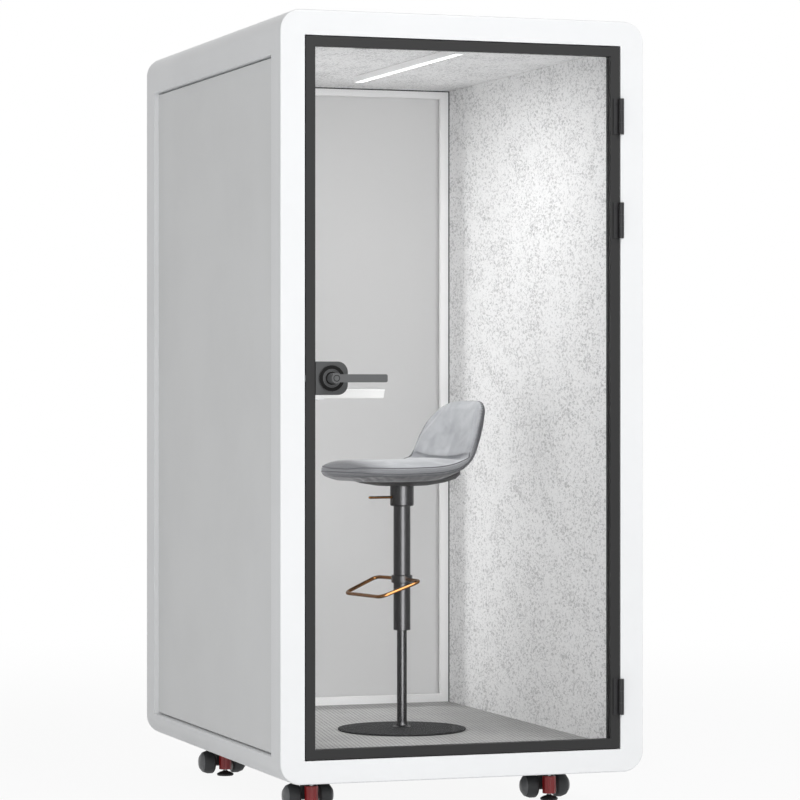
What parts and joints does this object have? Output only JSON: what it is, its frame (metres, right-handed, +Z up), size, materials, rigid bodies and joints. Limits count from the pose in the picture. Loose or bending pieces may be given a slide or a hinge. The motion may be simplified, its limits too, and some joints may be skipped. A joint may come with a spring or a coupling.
{
  "type": "acoustic office pod",
  "caption": "Single-person acoustic office pod: white ring-framed cabin on levelling castors, hinged glass door, felt lining, wall desk and swivelling bar stool.",
  "frame": {"origin": "on the floor, below the centre of the bounding box with the door closed", "axes": "+Z up, the door faces -Y, +X to the right as seen from the front"},
  "size_m": [1.1, 1.522, 2.279],
  "materials": {
    "white_paint": "satin white powder coat",
    "wall_paint": "satin light grey-white powder coat",
    "felt": "speckled light grey acoustic felt",
    "carpet": "grey loop carpet",
    "black_aluminium": "matt black anodised",
    "rubber": "matt black",
    "clear_glass": "clear toughened",
    "frosted_glass": "frosted light grey",
    "lamp": "opal diffuser",
    "steel": "satin",
    "dark_steel": "satin dark grey",
    "white_board": "white laminate board",
    "bronze": "polished bronze",
    "upholstery": "grey velvet upholstery",
    "red_plastic": "red",
    "castor_wheel": "grey nylon",
    "black_plastic": "matt black"
  },
  "bodies": {
    "pod": {"front_ring": "white_paint", "rear_ring": "white_paint", "top_left_rail": "white_paint", "top_right_rail": "white_paint", "bottom_left_rail": "white_paint", "bottom_right_rail": "white_paint", "rear_window_frame": "white_paint", "roof_vent_cover": "white_paint", "desk_front_bracket": "white_paint", "desk_rear_bracket": "white_paint", "left_wall_panel": "wall_paint", "right_wall_panel": "wall_paint", "roof_panel": "wall_paint", "left_felt": "felt", "right_felt": "felt", "ceiling_felt": "felt", "carpet": "carpet", "base_deck": "dark_steel", "stool_base": "dark_steel", "light_bar": "steel", "strike_plate": "steel", "light_diffuser": "lamp", "fan_housing": "black_plastic", "rear_glass": "frosted_glass", "rear_glass_bead": "rubber", "door_seal": "rubber", "upper_hinge_frame_leaf": "black_aluminium", "middle_hinge_frame_leaf": "black_aluminium", "lower_hinge_frame_leaf": "black_aluminium", "desk_top": "white_board"},
    "door": {"door_frame": "black_aluminium", "door_glass": "clear_glass", "door_bead": "rubber", "handle_outer_plate": "black_aluminium", "handle_inner_plate": "black_aluminium", "upper_hinge_door_leaf": "black_aluminium", "middle_hinge_door_leaf": "black_aluminium", "lower_hinge_door_leaf": "black_aluminium"},
    "handle": {"handle_outer_lever": "black_aluminium", "handle_inner_lever": "black_aluminium"},
    "latch": {"latch_bolt": "steel"},
    "fan": {"fan_impeller": "black_plastic"},
    "stool_lift_rod": {"stool_gas_rod": "steel"},
    "stool_seat": {"stool_sleeve": "black_aluminium", "stool_seat_pan": "black_plastic", "stool_cushion": "upholstery", "stool_footrest": "bronze"},
    "stool_height_lever": {"stool_lever": "bronze"},
    "front_left_castor": {"front_left_castor_housing": "dark_steel"},
    "front_left_wheels": {"front_left_castor_wheels": "castor_wheel"},
    "front_left_foot": {"front_left_levelling_foot": "red_plastic"},
    "front_right_castor": {"front_right_castor_housing": "dark_steel"},
    "front_right_wheels": {"front_right_castor_wheels": "castor_wheel"},
    "front_right_foot": {"front_right_levelling_foot": "red_plastic"},
    "rear_left_castor": {"rear_left_castor_housing": "dark_steel"},
    "rear_left_wheels": {"rear_left_castor_wheels": "castor_wheel"},
    "rear_left_foot": {"rear_left_levelling_foot": "red_plastic"},
    "rear_right_castor": {"rear_right_castor_housing": "dark_steel"},
    "rear_right_wheels": {"rear_right_castor_wheels": "castor_wheel"},
    "rear_right_foot": {"rear_right_levelling_foot": "red_plastic"}
  },
  "joints": [
    {"name": "door_swing", "type": "hinge", "parent": "pod", "child": "door", "pos_m": [0.4765, -0.718, 1.2], "axis": [0, 0, 1], "range_deg": [0, 110]},
    {"name": "handle_turn", "type": "hinge", "parent": "door", "child": "handle", "pos_m": [-0.401, -0.709, 1.247], "axis": [0, 1, 0], "range_deg": [0, 45], "stiffness_Nm_per_rad": 1.6, "springref_deg": -34.38},
    {"name": "latch_slide", "type": "slide", "parent": "door", "child": "latch", "axis": [1, 0, 0], "range_m": [0, 0.012]},
    {"name": "fan_spin", "type": "hinge", "parent": "pod", "child": "fan", "pos_m": [-0.23, -0.539, 2.23], "axis": [0, 0, 1], "continuous": true},
    {"name": "stool_lift", "type": "slide", "parent": "pod", "child": "stool_lift_rod", "axis": [0, 0, 1], "range_m": [-0.2, 0]},
    {"name": "stool_swivel", "type": "hinge", "parent": "stool_lift_rod", "child": "stool_seat", "pos_m": [0.019, -0.102, 0.7], "axis": [0, 0, 1], "continuous": true},
    {"name": "stool_lever_pull", "type": "hinge", "parent": "stool_seat", "child": "stool_height_lever", "pos_m": [-0.0076, -0.10664, 0.8906], "axis": [-0.1719, 0.9851, 0], "range_deg": [0, 8], "stiffness_Nm_per_rad": 1.5, "springref_deg": -2.86},
    {"name": "front_left_swivel", "type": "hinge", "parent": "pod", "child": "front_left_castor", "pos_m": [-0.369, -0.424, 0.09], "axis": [0, 0, 1], "continuous": true},
    {"name": "front_left_roll", "type": "hinge", "parent": "front_left_castor", "child": "front_left_wheels", "pos_m": [-0.369, -0.388, 0.04], "axis": [1, 0, 0], "continuous": true},
    {"name": "front_left_foot_screw", "type": "slide", "parent": "front_left_castor", "child": "front_left_foot", "axis": [0, 0, -1], "range_m": [-0.005, 0.01]},
    {"name": "front_right_swivel", "type": "hinge", "parent": "pod", "child": "front_right_castor", "pos_m": [0.369, -0.424, 0.09], "axis": [0, 0, 1], "continuous": true},
    {"name": "front_right_roll", "type": "hinge", "parent": "front_right_castor", "child": "front_right_wheels", "pos_m": [0.369, -0.388, 0.04], "axis": [1, 0, 0], "continuous": true},
    {"name": "front_right_foot_screw", "type": "slide", "parent": "front_right_castor", "child": "front_right_foot", "axis": [0, 0, -1], "range_m": [-0.005, 0.01]},
    {"name": "rear_left_swivel", "type": "hinge", "parent": "pod", "child": "rear_left_castor", "pos_m": [-0.369, 0.476, 0.09], "axis": [0, 0, 1], "continuous": true},
    {"name": "rear_left_roll", "type": "hinge", "parent": "rear_left_castor", "child": "rear_left_wheels", "pos_m": [-0.369, 0.512, 0.04], "axis": [1, 0, 0], "continuous": true},
    {"name": "rear_left_foot_screw", "type": "slide", "parent": "rear_left_castor", "child": "rear_left_foot", "axis": [0, 0, -1], "range_m": [-0.005, 0.01]},
    {"name": "rear_right_swivel", "type": "hinge", "parent": "pod", "child": "rear_right_castor", "pos_m": [0.369, 0.476, 0.09], "axis": [0, 0, 1], "continuous": true},
    {"name": "rear_right_roll", "type": "hinge", "parent": "rear_right_castor", "child": "rear_right_wheels", "pos_m": [0.369, 0.512, 0.04], "axis": [1, 0, 0], "continuous": true},
    {"name": "rear_right_foot_screw", "type": "slide", "parent": "rear_right_castor", "child": "rear_right_foot", "axis": [0, 0, -1], "range_m": [-0.005, 0.01]}
  ],
  "couplings": [
    {"joint": "latch_slide", "follows": "handle_turn", "m_per_rad": 0.015}
  ]
}
